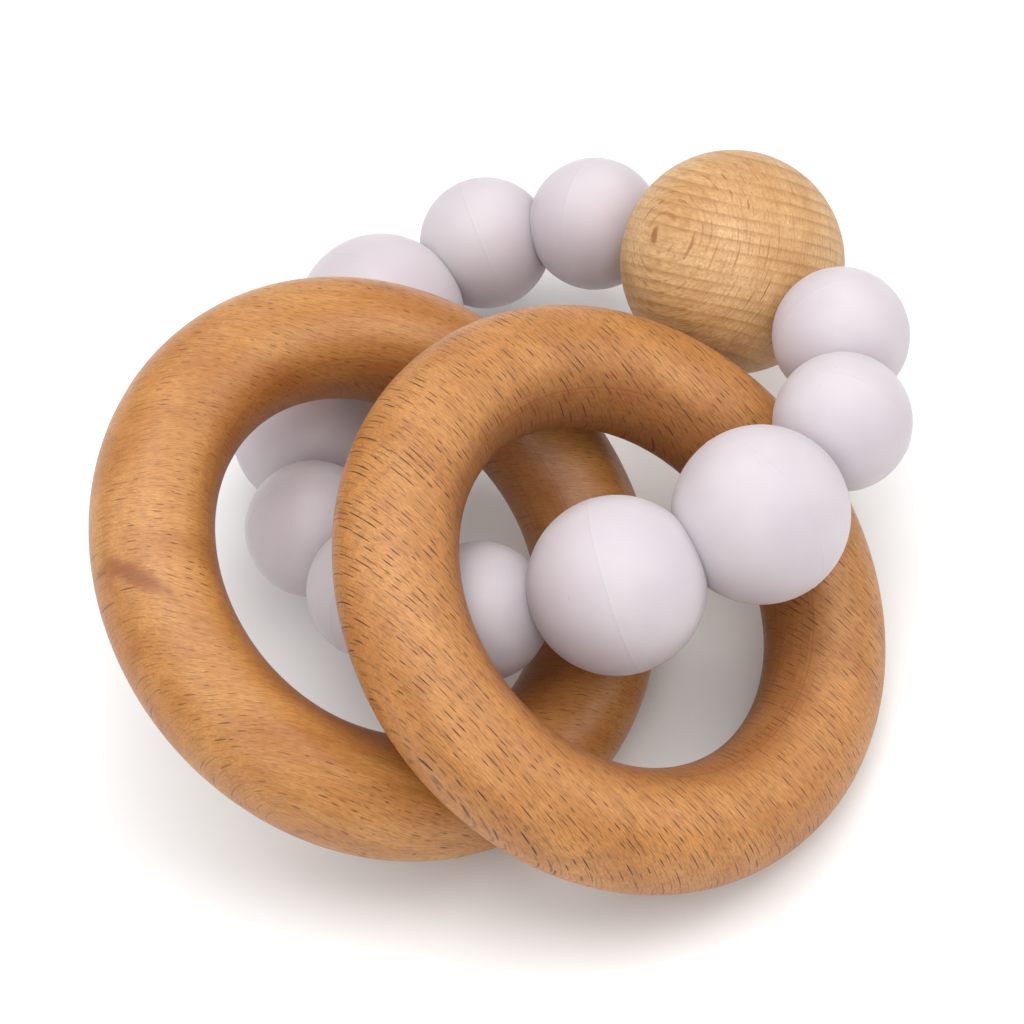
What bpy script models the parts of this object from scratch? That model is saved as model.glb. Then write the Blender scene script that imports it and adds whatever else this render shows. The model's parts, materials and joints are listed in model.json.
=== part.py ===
"""A bead-loop baby rattle: two turned beech rings hanging on one closed loop of twelve beads.

Frame: metres, +Z up. The rattle lies at rest on z = 0, and the middle of its footprint is x = y = 0.
One endless cord runs through every bead. Its knot is hidden in the wooden bead's bore. Both rings
are threaded on the bead loop: it goes down through them over their low bars and comes out under
their raised ones. Each piece is one closed solid. The beads and the back ring turn about their own
Z axes, and the front ring tips about its hinge empty's Y axis, a line along its bar.
"""
import math

import bmesh
import bpy
from mathutils import Matrix, Vector

MM = 0.001

# Rings: a turned beech torus, its bar slightly wider than it is thick.
RING_MEAN_RADIUS = 26.2 * MM
RING_BAR_WIDTH = 13.3 * MM
RING_BAR_THICKNESS = 12.8 * MM
RING_SEGMENTS = 48
BAR_SEGMENTS = 16

# Where each ring rests: its centre, how far it leans, and the heading of its low side.
BACK_RING_CENTRE = Vector((-13.9, -10.8, 19.9)) * MM
BACK_RING_LEAN = math.radians(31)
BACK_RING_HEADING = math.radians(-24)
FRONT_RING_CENTRE = Vector((11.2, -16.0, 20.7)) * MM
FRONT_RING_LEAN = math.radians(33)
FRONT_RING_HEADING = math.radians(-21)
# How far round from its low side the front ring's bar stays down while the rest of it is lifted.
FRONT_RING_HINGE_ANGLE = math.radians(68)

# Beads: diameter, length along the bore, bore diameter.
SMALL_BEAD = (15.0 * MM, 12.7 * MM, 2.8 * MM)
LARGE_BEAD = (19.0 * MM, 16.4 * MM, 2.6 * MM)
WOOD_BEAD = (25.0 * MM, 24.6 * MM, 3.8 * MM)
SMALL_BEAD_SEGMENTS = (20, 8)
LARGE_BEAD_SEGMENTS = (24, 10)
WOOD_BEAD_SEGMENTS = (24, 10)

# Cord: one endless length, with its knot in the wooden bead.
CORD_DIAMETER = 1.2 * MM
KNOT_SCALE = 2.6
CORD_BEVEL_RESOLUTION = 2
CORD_STEPS = 3

# Edges sharper than this stay sharp when a turned piece is shaded smooth.
SHARP_EDGE = math.radians(50)

# The cord's route, point by point: each is the gap in front of the bead named beside it.
STRAND = (
    ("wood_bead", WOOD_BEAD, (15.5, 37.5, 17.3)),
    ("small_bead_1", SMALL_BEAD, (34.2, 21.7, 23.8)),
    ("small_bead_2", SMALL_BEAD, (38.3, 8.4, 26.7)),
    ("large_bead_1", LARGE_BEAD, (33.4, -4.8, 27.4)),
    ("large_bead_2", LARGE_BEAD, (20.1, -16.9, 27.9)),
    ("small_bead_3", SMALL_BEAD, (2.8, -19.6, 23.3)),
    ("small_bead_4", SMALL_BEAD, (-9.0, -15.2, 16.9)),
    ("small_bead_5", SMALL_BEAD, (-19.9, -6.7, 13.9)),
    ("large_bead_3", LARGE_BEAD, (-23.4, 6.6, 10.2)),
    ("large_bead_4", LARGE_BEAD, (-20.2, 24.4, 9.4)),
    ("small_bead_6", SMALL_BEAD, (-9.6, 38.9, 9.6)),
    ("small_bead_7", SMALL_BEAD, (3.6, 42.6, 13.2)),
)


def clear_scene():
    """Start from an empty scene."""
    for obj in list(bpy.data.objects):
        bpy.data.objects.remove(obj, do_unlink=True)


def material(name, colour, roughness):
    """A plain Principled material."""
    mat = bpy.data.materials.new(name)
    mat.use_nodes = True
    shader = mat.node_tree.nodes["Principled BSDF"]
    shader.inputs["Base Color"].default_value = (*colour, 1.0)
    shader.inputs["Roughness"].default_value = roughness
    shader.inputs["Metallic"].default_value = 0.0
    return mat


def lathe_object(name, profile, segments, mat):
    """Turn a closed profile of (radius, height) points about Z. The profile goes round anticlockwise."""
    bm = bmesh.new()
    rings = []
    for i in range(segments):
        angle = 2 * math.pi * i / segments
        c = math.cos(angle)
        s = math.sin(angle)
        rings.append([bm.verts.new((r * c, r * s, z)) for r, z in profile])
    for i in range(segments):
        here = rings[i]
        there = rings[(i + 1) % segments]
        for j in range(len(profile)):
            k = (j + 1) % len(profile)
            bm.faces.new((here[j], there[j], there[k], here[k]))
    mesh = bpy.data.meshes.new(name)
    bm.to_mesh(mesh)
    bm.free()
    mesh.shade_smooth()
    mesh.set_sharp_from_angle(angle=SHARP_EDGE)
    mesh.materials.append(mat)
    obj = bpy.data.objects.new(name, mesh)
    bpy.context.collection.objects.link(obj)
    return obj


def bead_profile(diameter, length, bore, steps):
    """Half section of a bead: an oval from the lower bore mouth to the upper one, closed by the bore wall."""
    radius = diameter / 2
    mouth = math.asin(bore / diameter)
    points = []
    for i in range(steps + 1):
        angle = math.pi - mouth - (math.pi - 2 * mouth) * i / steps
        points.append((radius * math.sin(angle), length / 2 * math.cos(angle)))
    return points


def make_ring(name, centre, lean, heading, mat):
    """A beech ring leaning towards its heading, with its origin at its centre and its axis along local Z."""
    profile = []
    for i in range(BAR_SEGMENTS):
        angle = 2 * math.pi * i / BAR_SEGMENTS
        across = RING_MEAN_RADIUS + RING_BAR_WIDTH / 2 * math.cos(angle)
        profile.append((across, RING_BAR_THICKNESS / 2 * math.sin(angle)))
    ring = lathe_object(name, profile, RING_SEGMENTS, mat)
    ring.location = centre
    ring.rotation_euler = (0, lean, heading)
    return ring


def hang_on_hinge(ring, angle):
    """Parent a ring to an empty on its bar, at that angle from local X, with Y along the bar."""
    place = Matrix.LocRotScale(ring.location, ring.rotation_euler, None)
    bar = Matrix.Rotation(angle, 4, "Z") @ Matrix.Translation((RING_MEAN_RADIUS, 0, 0))
    hinge = bpy.data.objects.new(ring.name + "_hinge", None)
    bpy.context.collection.objects.link(hinge)
    hinge.empty_display_size = RING_BAR_WIDTH
    hinge.matrix_world = place @ bar
    ring.parent = hinge
    ring.location = (-RING_MEAN_RADIUS, 0, 0)
    ring.rotation_euler = (0, 0, -angle)


def make_bead(name, kind, start, end, mat):
    """A bead threaded between two gap points, with its bore along local Z."""
    diameter, length, bore = kind
    segments, steps = {
        SMALL_BEAD: SMALL_BEAD_SEGMENTS,
        LARGE_BEAD: LARGE_BEAD_SEGMENTS,
        WOOD_BEAD: WOOD_BEAD_SEGMENTS,
    }[kind]
    bead = lathe_object(name, bead_profile(diameter, length, bore, steps), segments, mat)
    bead.location = (start + end) / 2
    bead.rotation_euler = (end - start).to_track_quat("Z", "Y").to_euler()
    return bead


def gap_points():
    """The gap in front of each bead, in metres."""
    return [Vector(point) * MM for _, _, point in STRAND]


def cord_route():
    """A smooth closed curve through every gap and every bead's middle."""
    gaps = gap_points()
    stops = []
    for i, gap in enumerate(gaps):
        stops += [gap, (gap + gaps[(i + 1) % len(gaps)]) / 2]
    count = len(stops)
    route = []
    for i in range(count):
        a, b, c, d = (stops[(i + k) % count] for k in (-1, 0, 1, 2))
        for step in range(CORD_STEPS):
            t = step / CORD_STEPS
            tangent = b * 2 + (c - a) * t
            bend = (a * 2 - b * 5 + c * 4 - d) * t * t
            twist = (b * 3 - a - c * 3 + d) * t * t * t
            route.append((tangent + bend + twist) / 2)
    return route


def make_cord(mat):
    """The endless cord, thicker at the knot in the middle of the wooden bead."""
    route = cord_route()
    curve = bpy.data.curves.new("cord", "CURVE")
    curve.dimensions = "3D"
    curve.bevel_depth = CORD_DIAMETER / 2
    curve.bevel_resolution = CORD_BEVEL_RESOLUTION
    spline = curve.splines.new("POLY")
    spline.points.add(len(route) - 1)
    spline.use_cyclic_u = True
    for point, place in zip(spline.points, route):
        point.co = (*place, 1.0)
    middle_of_wood_bead = CORD_STEPS
    spline.points[middle_of_wood_bead].radius = KNOT_SCALE
    curve.materials.append(mat)
    cord = bpy.data.objects.new("cord", curve)
    bpy.context.collection.objects.link(cord)
    return cord


def build():
    clear_scene()
    oiled_beech = material("oiled beech", (0.50, 0.25, 0.10), 0.5)
    pale_beech = material("pale beech", (0.62, 0.40, 0.22), 0.55)
    silicone = material("silicone", (0.78, 0.69, 0.75), 0.6)
    cord_white = material("cord", (0.85, 0.83, 0.80), 0.8)

    make_cord(cord_white)
    make_ring("back_ring", BACK_RING_CENTRE, BACK_RING_LEAN, BACK_RING_HEADING, oiled_beech)
    front = make_ring("front_ring", FRONT_RING_CENTRE, FRONT_RING_LEAN, FRONT_RING_HEADING, oiled_beech)
    hang_on_hinge(front, FRONT_RING_HINGE_ANGLE)
    gaps = gap_points()
    for i, (name, kind, _) in enumerate(STRAND):
        mat = pale_beech if kind is WOOD_BEAD else silicone
        make_bead(name, kind, gaps[i], gaps[(i + 1) % len(gaps)], mat)


build()
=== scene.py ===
"""The looks of the bead-loop baby rattle: turned beech rings, soft silicone beads and a beech bead.

Every piece takes its place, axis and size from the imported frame. Lengths are in metres, except the
grain's and the other patterns', which are in mm.
"""
import json
import math

import bmesh
import bpy
import numpy as np
from mathutils import Matrix, Vector


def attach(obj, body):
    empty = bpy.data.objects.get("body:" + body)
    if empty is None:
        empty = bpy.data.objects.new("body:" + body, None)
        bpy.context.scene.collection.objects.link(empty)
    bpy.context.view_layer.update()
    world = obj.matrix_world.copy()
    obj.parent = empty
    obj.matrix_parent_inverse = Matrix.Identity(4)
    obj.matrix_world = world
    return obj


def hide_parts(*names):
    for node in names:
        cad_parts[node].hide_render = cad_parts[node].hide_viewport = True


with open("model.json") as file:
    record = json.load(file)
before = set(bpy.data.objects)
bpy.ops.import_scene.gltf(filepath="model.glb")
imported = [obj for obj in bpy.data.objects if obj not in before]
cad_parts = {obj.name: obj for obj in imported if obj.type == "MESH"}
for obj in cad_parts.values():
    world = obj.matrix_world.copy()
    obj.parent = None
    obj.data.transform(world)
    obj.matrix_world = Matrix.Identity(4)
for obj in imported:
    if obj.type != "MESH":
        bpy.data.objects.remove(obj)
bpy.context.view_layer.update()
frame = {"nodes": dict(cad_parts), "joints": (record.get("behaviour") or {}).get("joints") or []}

MM = 0.001

# Camera: a long lens looking down at the table from the front, turned slightly clockwise.
CAMERA_PLACE = Vector((0.0133, -0.3259, 0.4491))
CAMERA_AIM = Vector((0.0003, -0.0042, 0.020))
CAMERA_ROLL = math.radians(-2.87)
CAMERA_LENS_MM = 175.5
CAMERA_SENSOR_MM = 36.0
CAMERA_CLIP_START = 0.01

# Grain: each ring's grain as an angle from its low side, how far its board was tipped about the
# grain, and the wooden ball's two directions.
BACK_GRAIN = math.radians(24)
BACK_TIP = 0.0
FRONT_GRAIN = math.radians(-14)
FRONT_TIP = math.radians(17)
BALL_GRAIN = Vector((0.752, -0.555, 0.381))
BALL_RADIAL = Vector((0.300, 0.778, 0.550))

# How fine each part of the beech's grain is, in waves per mm along the grain, across it, and from
# the tree's middle.
WANDER_FINENESS = (0.03, 0.05, 0.05)
LAYER_DEPTH_FINENESS = (0.05, 0.11, 0.3)
PATCH_FINENESS = (0.045, 0.16, 0.1)
FIBRE_FINENESS = (0.8, 7.0, 3.5)
STREAK_FINENESS = (0.06, 1.1, 0.8)
CLUSTER_FINENESS = (0.09, 0.2, 0.1)
KNOT_EDGE_FINENESS = (0.4, 0.9, 0.9)

# How deep the grain, the silicone's grit and the cord's strands are, and what share of the grain's depth
# is the fibres and the turning marks.
GRAIN_DEPTH = 0.04 * MM
GRIT_DEPTH = 0.012 * MM
STRAND_DEPTH = 0.08 * MM
FIBRE_RELIEF = 0.35
TURNING_RELIEF = 0.35

# Rays: how unevenly they are spread, and where each set's cells begin.
RAY_SPREAD = 0.6
MAIN_RAYS_START = (3.1, 7.7, 1.3)
FINE_RAYS_START = (9.4, 2.2, 5.8)

# Turning marks: waves for each radian round the bar, and how far inside the bar's middle they begin and
# are full, in mm.
# The same span sets where the painted shade on the rings' inner wall begins and is full.
TURNING_FINENESS = 15.0
TURNING_BEGINS = 1.5
TURNING_FULL = 5.0

# Silicone, cord and floor: waves, or cells that may hold a speck of lint, per mm.
CLOUD_FINENESS = (0.12,) * 3
SMEAR_FINENESS = (0.35,) * 3
GRIT_FINENESS = (9.0,) * 3
SPECK_FINENESS = 0.45
FUZZ_FINENESS = (12.0,) * 3
PAPER_FINENESS = (0.4,) * 3

# A small knot's streak on the back ring: its middle and half sizes in mm, in the ring's own axes.
KNOT_MIDDLE = (-21.8, -21.0, 3.5)
KNOT_REACH = (6.5, 1.3, 5.5)
KNOT_HEADING = math.radians(-6)

# The studio: softboxes above the table, by place and power, the light that comes from all round, and a
# matt floor just under the rattle.
SOFTBOX_SIZE = 0.9
SOFTBOXES = {
    "overhead": ((0.0, 0.0, 1.0), 7.0),
    "back": ((0.0, 0.75, 0.7), 2.5),
    "left": ((-0.75, 0.0, 0.7), 4.0),
    "right": ((0.75, 0.0, 0.7), 4.4),
    "front": ((0.0, -0.75, 0.7), 4.0),
}
ALL_ROUND = 0.25
FLOOR_REACH = 1.5
FLOOR_GAP = 0.1 * MM
FLOOR_COLOUR = (0.84, 0.84, 0.84)
FLOOR_ROUGHNESS = (0.85, 0.9)
FLOOR_SPECULAR = 0.2

# Mesh fineness.
RING_SEGMENTS = 192
BAR_SEGMENTS = 72
BEAD_SEGMENTS = 96
BEAD_STEPS = 60
FILLET_STEPS = 5

# Bead details. Each visible bore is a share of the CAD bead's, which is wide so that it clears the cord.
MOUTH_FILLET = 0.1 * MM
SOFT_BORE_SHARE = 0.8
WOOD_BORE_SHARE = 0.85

# The moulding seam round a silicone bead: its own steps on each side of its middle replace the plain
# ones that are nearer than that many half widths.
SEAM_HEIGHT = 0.035 * MM
SEAM_HALF_WIDTH = 0.22 * MM
SEAM_STEPS = 3
SEAM_ROOM = 1.2


# ---------------------------------------------------------------- shader graphs

class Graph:
    """A material's node tree, with short ways to add and join nodes."""

    def __init__(self, name):
        self.material = bpy.data.materials.new(name)
        self.material.use_nodes = True
        self.nodes = self.material.node_tree.nodes
        self.links = self.material.node_tree.links
        self.shader = self.nodes["Principled BSDF"]

    def put(self, socket, value):
        """Link a socket, or set a constant, into an input."""
        if isinstance(value, bpy.types.NodeSocket):
            self.links.new(value, socket)
        elif isinstance(value, (tuple, list, Vector)) and socket.type == "RGBA":
            socket.default_value = (*value, 1.0)
        else:
            socket.default_value = value

    def node(self, kind, inputs=(), **settings):
        node = self.nodes.new(kind)
        for key, value in settings.items():
            setattr(node, key, value)
        for key, value in dict(inputs).items():
            self.put(node.inputs[key], value)
        return node

    def math(self, operation, a, b=0.0):
        return self.node("ShaderNodeMath", {0: a, 1: b}, operation=operation).outputs[0]

    def squares(self, *values):
        """The sum of the values' squares."""
        terms = [self.math("MULTIPLY", value, value) for value in values]
        total = terms[0]
        for term in terms[1:]:
            total = self.math("ADD", total, term)
        return total

    def length(self, *values):
        return self.math("SQRT", self.squares(*values))

    def vector_math(self, operation, a, b=(0, 0, 0)):
        return self.node("ShaderNodeVectorMath", {0: a, 1: b}, operation=operation).outputs["Vector"]

    def parts(self, vector):
        return self.node("ShaderNodeSeparateXYZ", {0: vector}).outputs

    def noise(self, vector, detail=2.0, roughness=0.5, distortion=0.0):
        inputs = {"Vector": vector, "Scale": 1.0, "Detail": detail, "Roughness": roughness}
        inputs["Distortion"] = distortion
        return self.node("ShaderNodeTexNoise", inputs).outputs[0]

    def stretch(self, vector, scale, offset=(0, 0, 0)):
        """The vector times a scale for each axis, plus an offset."""
        return self.vector_math("ADD", self.vector_math("MULTIPLY", vector, scale), offset)

    def span(self, value, low, high, to_low=0.0, to_high=1.0):
        """Map low..high smoothly to to_low..to_high, and hold the ends. Noise is mostly 0.3 to 0.7."""
        inputs = {0: value, 1: low, 2: high, 3: to_low, 4: to_high}
        return self.node("ShaderNodeMapRange", inputs, interpolation_type="SMOOTHSTEP").outputs[0]

    def mix(self, factor, a, b):
        node = self.node("ShaderNodeMix", data_type="RGBA")
        self.put(node.inputs[0], factor)
        self.put(node.inputs[6], a)
        self.put(node.inputs[7], b)
        return node.outputs[2]

    def bump(self, height, distance, strength):
        inputs = {"Height": height, "Distance": distance, "Strength": strength}
        return self.node("ShaderNodeBump", inputs).outputs["Normal"]

    def finish(self, **inputs):
        for key, value in inputs.items():
            self.put(self.shader.inputs[key.replace("_", " ").title().replace("Ior", "IOR")], value)
        return self.material


def linear(red, green, blue):
    """A colour given as 0 to 255 screen values, as the linear values that shaders use."""
    def channel(value):
        value /= 255
        return value / 12.92 if value <= 0.04045 else ((value + 0.055) / 1.055) ** 2.4
    return channel(red), channel(green), channel(blue)


def millimetres(graph, place=Matrix()):
    """Coordinates in mm in the axes of a piece that stands at place. Its mesh is in the row's frame."""
    rest = graph.node("ShaderNodeTexCoord").outputs["Object"]
    mapping = graph.node("ShaderNodeMapping", {"Vector": rest, "Scale": (1 / MM,) * 3}, vector_type="POINT")
    back = place.inverted()
    mapping.inputs["Rotation"].default_value = back.to_euler()
    mapping.inputs["Location"].default_value = back.translation / MM
    return mapping.outputs[0]


def grain_space(graph, local, along, radial):
    """Local coordinates as (along the grain, across it, away from the tree's middle)."""
    along = along.normalized()
    radial = (radial - along * radial.dot(along)).normalized()
    mapping = graph.node("ShaderNodeMapping", {"Vector": local}, vector_type="POINT")
    mapping.inputs["Rotation"].default_value = Matrix((along, radial.cross(along), radial)).to_euler()
    return mapping.outputs[0]


def dashes(graph, place, cell, half_size, offset):
    """Rays cut across: short dark dashes along the grain, one in each cell, with soft ends.

    Each ray is a thin blade: cell and half_size are along the grain, across it, and from the middle.
    """
    scaled = graph.stretch(place, [1 / size for size in cell], offset)
    cells = {"Vector": scaled, "Scale": 1.0, "Randomness": RAY_SPREAD}
    voronoi = graph.node("ShaderNodeTexVoronoi", cells)
    away = graph.vector_math("SUBTRACT", scaled, voronoi.outputs["Position"])
    seed = graph.parts(voronoi.outputs["Color"])
    blade = graph.vector_math("MULTIPLY", away, [size / half for size, half in zip(cell, half_size)])
    along, across, radial = graph.parts(blade)
    along = graph.math("DIVIDE", along, graph.span(seed[0], 0, 1, 0.45, 1.2))
    shape = graph.span(graph.squares(along, across, radial), 0.3, 1.2, 1.0, 0.0)
    return graph.math("MULTIPLY", shape, graph.span(seed[1], 0.0, 1.0, 0.35, 1.0))


def beech(name, stand, along, radial, look):
    """Beech on a piece that stands at stand: growth layers, fibres, ray dashes, turning marks and painted
    shade on the inner wall.
    """
    graph = Graph(name)
    local = millimetres(graph, stand)
    place = grain_space(graph, local, along, radial)
    wander = graph.noise(graph.stretch(place, WANDER_FINENESS), detail=1.0)
    wander = graph.math("MULTIPLY", graph.math("SUBTRACT", wander, 0.5), look["wander"])
    along_mm, across_mm, radial_mm = graph.parts(place)
    across_bent = graph.math("ADD", across_mm, wander)
    bent = graph.node("ShaderNodeCombineXYZ", {0: along_mm, 1: across_bent, 2: radial_mm}).outputs[0]

    # Growth layers: shells round the tree's middle, far below the piece, with a sharper dark edge.
    from_middle = graph.math("ADD", radial_mm, look["to_middle"])
    shell = graph.length(from_middle, across_bent)
    shell = graph.math("ADD", shell, graph.math("MULTIPLY", wander, 0.6))
    layer = graph.math("FRACT", graph.math("DIVIDE", shell, look["layer"]))
    edge = graph.span(layer, look["layer_fall"], 1.0, 1.0, 0.0)
    layer = graph.math("MULTIPLY", graph.math("POWER", layer, look["layer_edge"]), edge)
    layer_depth = graph.noise(graph.stretch(place, LAYER_DEPTH_FINENESS), detail=1.0)
    layer = graph.math("MULTIPLY", layer, graph.span(layer_depth, 0.3, 0.65, 0.35, 1.0))

    # Figure: broad soft patches, and fibres that run along the grain.
    patches = graph.noise(graph.stretch(bent, PATCH_FINENESS), detail=3.0, distortion=0.6)
    fibres = graph.noise(graph.stretch(bent, FIBRE_FINENESS), detail=3.0, roughness=0.65)
    streaks = graph.noise(graph.stretch(bent, STREAK_FINENESS), detail=2.0)
    colour = graph.mix(graph.span(patches, 0.32, 0.68), look["light"], look["mid"])
    colour = graph.mix(graph.span(streaks, 0.42, 0.75, 0.0, look["streak"]), colour, look["deep"])
    colour = graph.mix(graph.math("MULTIPLY", layer, look["layer_strength"]), colour, look["deep"])
    colour = graph.mix(graph.span(fibres, 0.3, 0.7, 0.0, look["fibre"]), colour, look["deep"])

    # Rays: main dashes, and a finer, fainter set between them.
    main = dashes(graph, bent, look["ray_cell"], look["ray_size"], MAIN_RAYS_START)
    fine = dashes(graph, bent, look["fine_cell"], look["fine_size"], FINE_RAYS_START)
    clusters = graph.noise(graph.stretch(place, CLUSTER_FINENESS, (4, 4, 4)), detail=1.0)
    main = graph.math("MULTIPLY", main, graph.span(clusters, 0.3, 0.6, look["ray_least"], 1.0))
    colour = graph.mix(graph.math("MULTIPLY", fine, look["fine_strength"]), colour, look["ray"])
    colour = graph.mix(graph.math("MULTIPLY", main, look["ray_strength"]), colour, look["ray"])

    # Turning marks: faint lines round the piece, strongest on its inner wall, and painted shade that darkens
    # the whole inner wall.
    x_mm, y_mm, z_mm = graph.parts(local)
    rho = graph.length(x_mm, y_mm)
    section = graph.math("ARCTAN2", z_mm, graph.math("SUBTRACT", rho, look["turned_about"]))
    round_it = graph.node("ShaderNodeCombineXYZ", {0: graph.math("MULTIPLY", section, TURNING_FINENESS)})
    marks = graph.noise(round_it.outputs[0], roughness=0.7)
    inner = graph.span(rho, look["turned_about"] - TURNING_BEGINS, look["turned_about"] - TURNING_FULL)
    marks = graph.math("MULTIPLY", graph.span(marks, 0.5, 0.72), inner)
    colour = graph.mix(graph.math("MULTIPLY", marks, look["turning"]), colour, look["deep"])
    # Painted shade: the inner wall is darkened towards the deep colour under any light, standing in for the
    # shade in the ring's hollow.
    colour = graph.mix(graph.math("MULTIPLY", inner, look["inner"]), colour, look["deep"])
    if look["knot"]:
        spot = {"Vector": local, "Location": KNOT_MIDDLE, "Scale": KNOT_REACH}
        spot["Rotation"] = (0, 0, KNOT_HEADING)
        knot = graph.node("ShaderNodeMapping", spot, vector_type="TEXTURE")
        ragged = graph.noise(graph.stretch(bent, KNOT_EDGE_FINENESS), detail=3.0)
        ragged = graph.math("MULTIPLY", ragged, 0.7)
        reach = graph.node("ShaderNodeVectorMath", {0: knot.outputs[0]}, operation="LENGTH").outputs["Value"]
        knot = graph.span(graph.math("ADD", reach, ragged), 0.6, 1.4, look["knot"], 0.0)
        colour = graph.mix(knot, colour, look["deep"])

    height = graph.math("SUBTRACT", graph.math("MULTIPLY", fibres, FIBRE_RELIEF), main)
    height = graph.math("SUBTRACT", height, graph.math("MULTIPLY", marks, TURNING_RELIEF))
    roughness = graph.span(fibres, 0.2, 0.8, look["roughness_least"], look["roughness_most"])
    normal = graph.bump(height, GRAIN_DEPTH, look["relief"])
    return graph.finish(base_color=colour, roughness=roughness, normal=normal,
                        specular_ior_level=look["specular"])


def silicone():
    """Soft food-grade silicone: pale lilac, matt, slightly translucent, with a few specks of lint."""
    graph = Graph("lilac silicone")
    place = millimetres(graph)
    cloud = graph.noise(graph.stretch(place, CLOUD_FINENESS), detail=2.0)
    colour = graph.mix(graph.span(cloud, 0.3, 0.7), SILICONE["light"], SILICONE["dark"])
    speck_inputs = {"Vector": place, "Scale": SPECK_FINENESS, "Randomness": 1.0}
    speck_cells = graph.node("ShaderNodeTexVoronoi", speck_inputs)
    chosen = graph.span(graph.parts(speck_cells.outputs["Color"])[0], 0.72, 0.76)
    specks = graph.math("MULTIPLY", graph.span(speck_cells.outputs["Distance"], 0.03, 0.05, 1.0, 0.0), chosen)
    colour = graph.mix(graph.math("MULTIPLY", specks, SILICONE["lint_strength"]), colour, SILICONE["lint"])
    grit = graph.noise(graph.stretch(place, GRIT_FINENESS), detail=3.0, roughness=0.65)
    smears = graph.noise(graph.stretch(place, SMEAR_FINENESS, (5, 5, 5)), detail=3.0)
    roughness = graph.span(smears, 0.3, 0.7, SILICONE["roughness_least"], SILICONE["roughness_most"])
    normal = graph.bump(grit, GRIT_DEPTH, SILICONE["relief"])
    return graph.finish(base_color=colour, roughness=roughness, normal=normal,
                        subsurface_weight=SILICONE["subsurface"], subsurface_radius=SILICONE["scatter"],
                        subsurface_scale=SILICONE["scatter_scale"], specular_ior_level=SILICONE["specular"])


def cord_fibre():
    """Waxed cord: off-white strands laid round each other."""
    graph = Graph("waxed cord")
    place = millimetres(graph)
    lay = graph.node("ShaderNodeTexWave", {"Vector": place, "Scale": 1.4, "Distortion": 1.5, "Detail": 2.0},
                     bands_direction="DIAGONAL").outputs[1]
    colour = graph.mix(graph.span(lay, 0.1, 0.6), WAXED_CORD["dark"], WAXED_CORD["light"])
    fuzz = graph.noise(graph.stretch(place, FUZZ_FINENESS), detail=2.0)
    height = graph.math("ADD", lay, graph.math("MULTIPLY", fuzz, 0.3))
    roughness = graph.span(fuzz, 0.3, 0.7, WAXED_CORD["roughness_least"], WAXED_CORD["roughness_most"])
    normal = graph.bump(height, STRAND_DEPTH, WAXED_CORD["relief"])
    return graph.finish(base_color=colour, roughness=roughness, normal=normal)


# Looks of the woods. Lengths are in mm: the layers' distance from the tree's middle and from each other,
# and the rays' cells and half sizes along the grain, across it and from the middle.
# "inner" is how strongly the painted shade darkens a ring's inner wall.
OILED_BEECH = {
    "light": linear(194, 136, 75), "mid": linear(180, 121, 63), "deep": linear(116, 62, 28),
    "ray": linear(62, 28, 12),
    "wander": 1.6, "to_middle": 70.0, "layer": 1.9, "layer_edge": 3.0, "layer_fall": 0.85,
    "layer_strength": 0.22,
    "streak": 0.16, "fibre": 0.42, "turned_about": 26.2, "turning": 0.75, "inner": 0.5, "knot": 0.0,
    "ray_cell": (2.1, 0.74, 5.0), "ray_size": (1.05, 0.075, 3.8), "ray_strength": 1.0, "ray_least": 0.75,
    "fine_cell": (1.5, 0.4, 3.4), "fine_size": (0.8, 0.055, 2.2), "fine_strength": 0.5,
    "roughness_least": 0.41, "roughness_most": 0.53, "relief": 0.8, "specular": 0.45,
}
SATIN_BEECH = OILED_BEECH | {
    "light": linear(193, 138, 76), "mid": linear(176, 118, 61), "deep": linear(124, 66, 28), "wander": 9.0,
    "to_middle": 45.0, "layer": 3.2, "layer_fall": 0.55, "layer_strength": 0.4, "streak": 0.24,
    "turning": 0.65,
    "ray_cell": (1.9, 0.8, 4.0), "ray_size": (0.6, 0.085, 2.6), "ray_strength": 0.75, "ray_least": 0.45,
    "fine_strength": 0.4, "roughness_least": 0.35, "roughness_most": 0.47, "relief": 0.5, "knot": 0.8,
}
PALE_BEECH = OILED_BEECH | {
    "light": linear(210, 172, 121), "mid": linear(195, 151, 100), "deep": linear(138, 86, 40),
    "ray": linear(136, 80, 36), "wander": 3.5, "to_middle": 70.0, "layer": 1.25, "layer_edge": 3.0,
    "layer_fall": 0.8, "layer_strength": 0.95, "streak": 0.2, "ray_cell": (2.4, 0.8, 3.2),
    "ray_size": (0.9, 0.075, 2.0), "ray_strength": 0.8, "ray_least": 0.25, "fine_strength": 0.45,
    "turned_about": 0.0, "turning": 0.0, "inner": 0.0, "roughness_least": 0.45, "roughness_most": 0.57,
    "relief": 0.6,
}

# Looks of the silicone and the cord. The scatter is how far each colour of light travels inside.
SILICONE = {
    "light": linear(194, 187, 191), "dark": linear(189, 180, 186), "lint": linear(150, 130, 140),
    "lint_strength": 0.35, "roughness_least": 0.44, "roughness_most": 0.56, "relief": 0.6,
    "specular": 0.42, "subsurface": 0.5, "scatter": (1.0, 0.6, 0.68), "scatter_scale": 2.4 * MM,
}
WAXED_CORD = {
    "light": linear(232, 228, 220), "dark": linear(196, 190, 182), "roughness_least": 0.65,
    "roughness_most": 0.8, "relief": 0.8,
}


# ---------------------------------------------------------------- pieces

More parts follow.
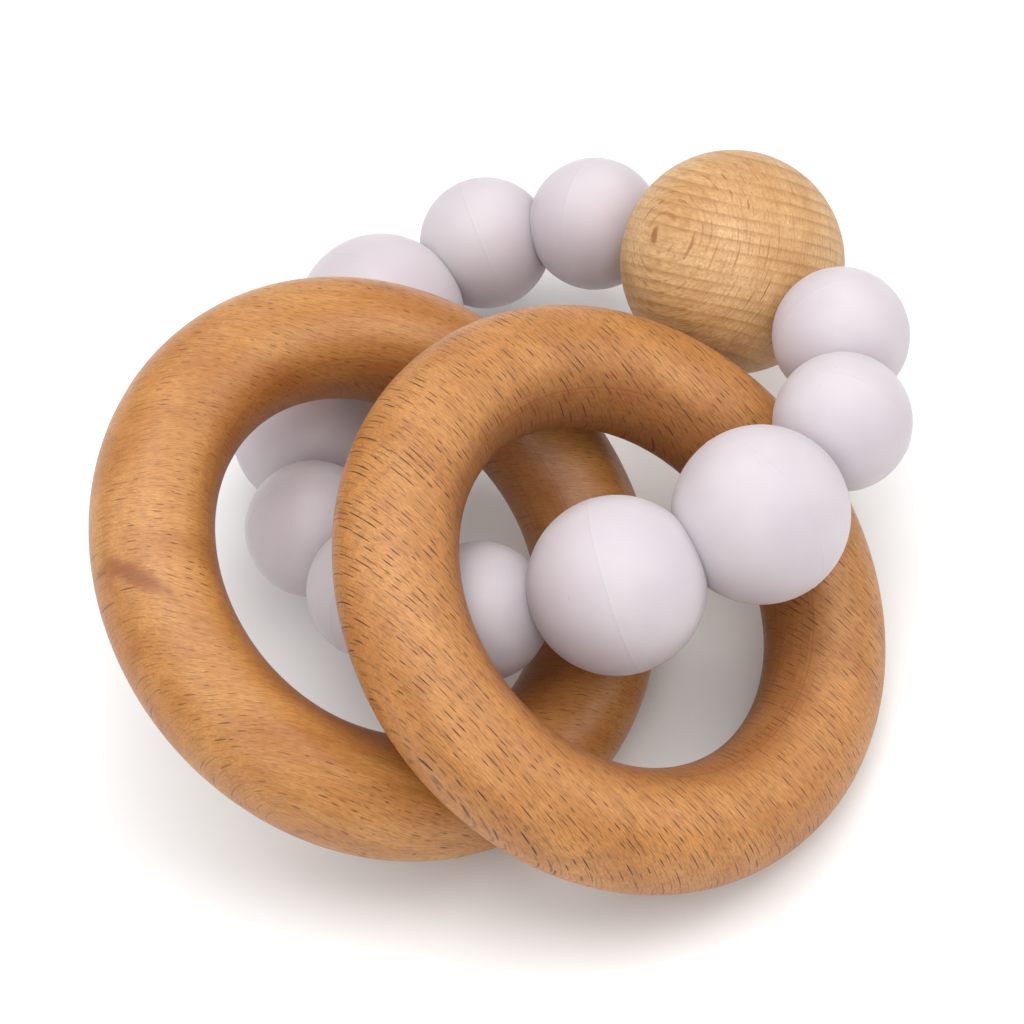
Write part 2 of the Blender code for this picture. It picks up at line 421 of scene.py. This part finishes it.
def turned(name, profile, segments, place, mat):
    """Turn a closed profile of (radius, height) points about place's Z. It goes round anticlockwise."""
    bm = bmesh.new()
    rows = []
    for i in range(segments):
        angle = 2 * math.pi * i / segments
        rows.append([bm.verts.new((r * math.cos(angle), r * math.sin(angle), z)) for r, z in profile])
    for i in range(segments):
        here = rows[i]
        there = rows[(i + 1) % segments]
        for j in range(len(profile)):
            k = (j + 1) % len(profile)
            bm.faces.new((here[j], there[j], there[k], here[k]))
    mesh = bpy.data.meshes.new(name)
    bm.transform(place)
    bm.to_mesh(mesh)
    bm.free()
    mesh.shade_smooth()
    mesh.materials.append(mat)
    piece = bpy.data.objects.new(name, mesh)
    bpy.context.scene.collection.objects.link(piece)
    return piece


def stand_for(piece, node):
    """Let a piece ride on the body of its CAD node, which has the same name, and stand for it."""
    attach(piece, node)
    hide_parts(node)


def node_points(node):
    return np.array([vertex.co for vertex in frame["nodes"][node].data.vertices])


def ring_from_frame(node):
    """A ring's place, mean radius, bar width and bar thickness. Local Z is its axis, X its low side."""
    points = node_points(node)
    centre = points.mean(axis=0)
    _, directions = np.linalg.eigh(np.cov((points - centre).T))
    axis = Vector(directions[:, 0])
    axis *= math.copysign(1, axis.z)
    low_side = Vector((axis.x, axis.y, 0)).normalized() * axis.z - Vector((0, 0, math.hypot(axis.x, axis.y)))
    place = Matrix((low_side, axis.cross(low_side), axis)).transposed().to_4x4()
    place.translation = Vector(centre)
    local = (points - centre) @ np.array(place.to_3x3())
    reach = np.hypot(local[:, 0], local[:, 1])
    thickness = local[:, 2].max() - local[:, 2].min()
    return place, (reach.max() + reach.min()) / 2, reach.max() - reach.min(), thickness


def make_ring(node, name, grain_angle, tip, look):
    """A finely turned beech ring, from a board whose grain lies at that angle from its low side."""
    place, mean_radius, width, thickness = ring_from_frame(node)
    along = Vector((math.cos(grain_angle), math.sin(grain_angle), 0))
    radial = Matrix.Rotation(tip, 3, along) @ Vector((0, 0, 1))
    mat = beech(name, place, along, radial, look)
    profile = []
    for i in range(BAR_SEGMENTS):
        angle = 2 * math.pi * i / BAR_SEGMENTS
        profile.append((mean_radius + width / 2 * math.cos(angle), thickness / 2 * math.sin(angle)))
    piece = turned("beech_" + node, profile, RING_SEGMENTS, place, mat)
    stand_for(piece, node)


def ball_profile(radius, bore, seam):
    """Half section of a ball with a bore: the outside, its seam, and rounded mouths."""
    centre_r = bore + MOUTH_FILLET
    centre_z = math.sqrt((radius - MOUTH_FILLET) ** 2 - centre_r ** 2)
    start = math.atan2(centre_r, centre_z)
    angles = [start + (math.pi - 2 * start) * i / BEAD_STEPS for i in range(BEAD_STEPS + 1)]
    if seam:
        edge = SEAM_HALF_WIDTH / radius
        angles = [a for a in angles if abs(a - math.pi / 2) > SEAM_ROOM * edge]
        angles += [math.pi / 2 + edge * k / SEAM_STEPS for k in range(-SEAM_STEPS, SEAM_STEPS + 1)]
    profile = []
    for angle in sorted(angles, reverse=True):
        from_seam = (angle - math.pi / 2) * radius / SEAM_HALF_WIDTH
        rise = SEAM_HEIGHT * (1 - from_seam ** 2) ** 2 if seam and abs(from_seam) < 1 else 0
        profile.append(((radius + rise) * math.sin(angle), (radius + rise) * math.cos(angle)))
    for side in (1, -1):
        for i in range(1, FILLET_STEPS + 1):
            step = i if side > 0 else FILLET_STEPS - i
            angle = start - (start + math.pi / 2) * step / FILLET_STEPS
            r = centre_r + MOUTH_FILLET * math.sin(angle)
            profile.append((r, side * (centre_z + MOUTH_FILLET * math.cos(angle))))
    return profile[:-1]


def bead_from_frame(joint):
    """A bead's place, with its bore along local Z, its radius and its bore's radius."""
    axis = Vector(joint["axis"]).normalized()
    place = axis.to_track_quat("Z", "Y").to_matrix().to_4x4()
    place.translation = Vector(joint["pos_m"])
    offsets = node_points(joint["child"]) - np.array(joint["pos_m"])
    along = offsets @ np.array(axis)
    reach = np.sqrt(np.maximum((offsets ** 2).sum(axis=1) - along ** 2, 0))
    return place, reach.max(), reach.min()


def to_local(place, direction):
    """A world direction in a piece's own axes."""
    return place.to_3x3().transposed() @ Vector(direction)


def make_beads(soft):
    """Every bead on the strand, from its spin joint."""
    for joint in frame["joints"]:
        if not joint["name"].startswith("spin_"):
            continue
        node = joint["child"]
        place, radius, bore = bead_from_frame(joint)
        if node == "wood_bead":
            along = to_local(place, BALL_GRAIN)
            mat = beech("pale beech", place, along, to_local(place, BALL_RADIAL), PALE_BEECH)
            profile = ball_profile(radius, bore * WOOD_BORE_SHARE, False)
            piece = turned("beech_ball", profile, BEAD_SEGMENTS, place, mat)
            stand_for(piece, node)
        else:
            profile = ball_profile(radius, bore * SOFT_BORE_SHARE, True)
            piece = turned("silicone_" + node, profile, BEAD_SEGMENTS, place, soft)
            stand_for(piece, node)


# ---------------------------------------------------------------- stage

def make_floor():
    mesh = bpy.data.meshes.new("floor")
    corners = [(x * FLOOR_REACH, y * FLOOR_REACH, 0) for x, y in ((-1, -1), (1, -1), (1, 1), (-1, 1))]
    mesh.from_pydata(corners, [], [(0, 1, 2, 3)])
    graph = Graph("floor")
    paper = graph.noise(graph.stretch(millimetres(graph), PAPER_FINENESS))
    roughness = graph.span(paper, 0.3, 0.7, *FLOOR_ROUGHNESS)
    mat = graph.finish(base_color=FLOOR_COLOUR, roughness=roughness, specular_ior_level=FLOOR_SPECULAR)
    mesh.materials.append(mat)
    floor = bpy.data.objects.new("floor", mesh)
    floor.location.z = -FLOOR_GAP
    bpy.context.scene.collection.objects.link(floor)


def make_light(name, place, power):
    light = bpy.data.lights.new(name, "AREA")
    light.shape = "DISK"
    light.size = SOFTBOX_SIZE
    light.energy = power
    lamp = bpy.data.objects.new(name, light)
    lamp.location = place
    lamp.rotation_euler = (CAMERA_AIM - Vector(place)).to_track_quat("-Z", "Y").to_euler()
    bpy.context.scene.collection.objects.link(lamp)


def make_stage():
    make_floor()
    for name, (place, power) in SOFTBOXES.items():
        make_light(name + " softbox", place, power)
    world = bpy.data.worlds.new("studio")
    world.use_nodes = True
    world.node_tree.nodes["Background"].inputs["Color"].default_value = (1.0, 1.0, 1.0, 1.0)
    world.node_tree.nodes["Background"].inputs["Strength"].default_value = ALL_ROUND
    bpy.context.scene.world = world
    bpy.context.scene.view_settings.view_transform = "Standard"


def make_camera():
    data = bpy.data.cameras.new("camera")
    data.lens = CAMERA_LENS_MM
    data.sensor_width = CAMERA_SENSOR_MM
    data.clip_start = CAMERA_CLIP_START
    camera = bpy.data.objects.new("camera", data)
    look = (CAMERA_AIM - CAMERA_PLACE).to_track_quat("-Z", "Y").to_matrix()
    turn = (look @ Matrix.Rotation(CAMERA_ROLL, 3, "Z")).to_4x4()
    camera.matrix_world = Matrix.Translation(CAMERA_PLACE) @ turn
    bpy.context.scene.collection.objects.link(camera)
    bpy.context.scene.camera = camera


make_camera()
make_stage()
make_ring("back_ring", "satin beech", BACK_GRAIN, BACK_TIP, SATIN_BEECH)
make_ring("front_ring", "oiled beech", FRONT_GRAIN, FRONT_TIP, OILED_BEECH)
make_beads(silicone())
frame["nodes"]["cord"].data.materials.clear()
frame["nodes"]["cord"].data.materials.append(cord_fibre())
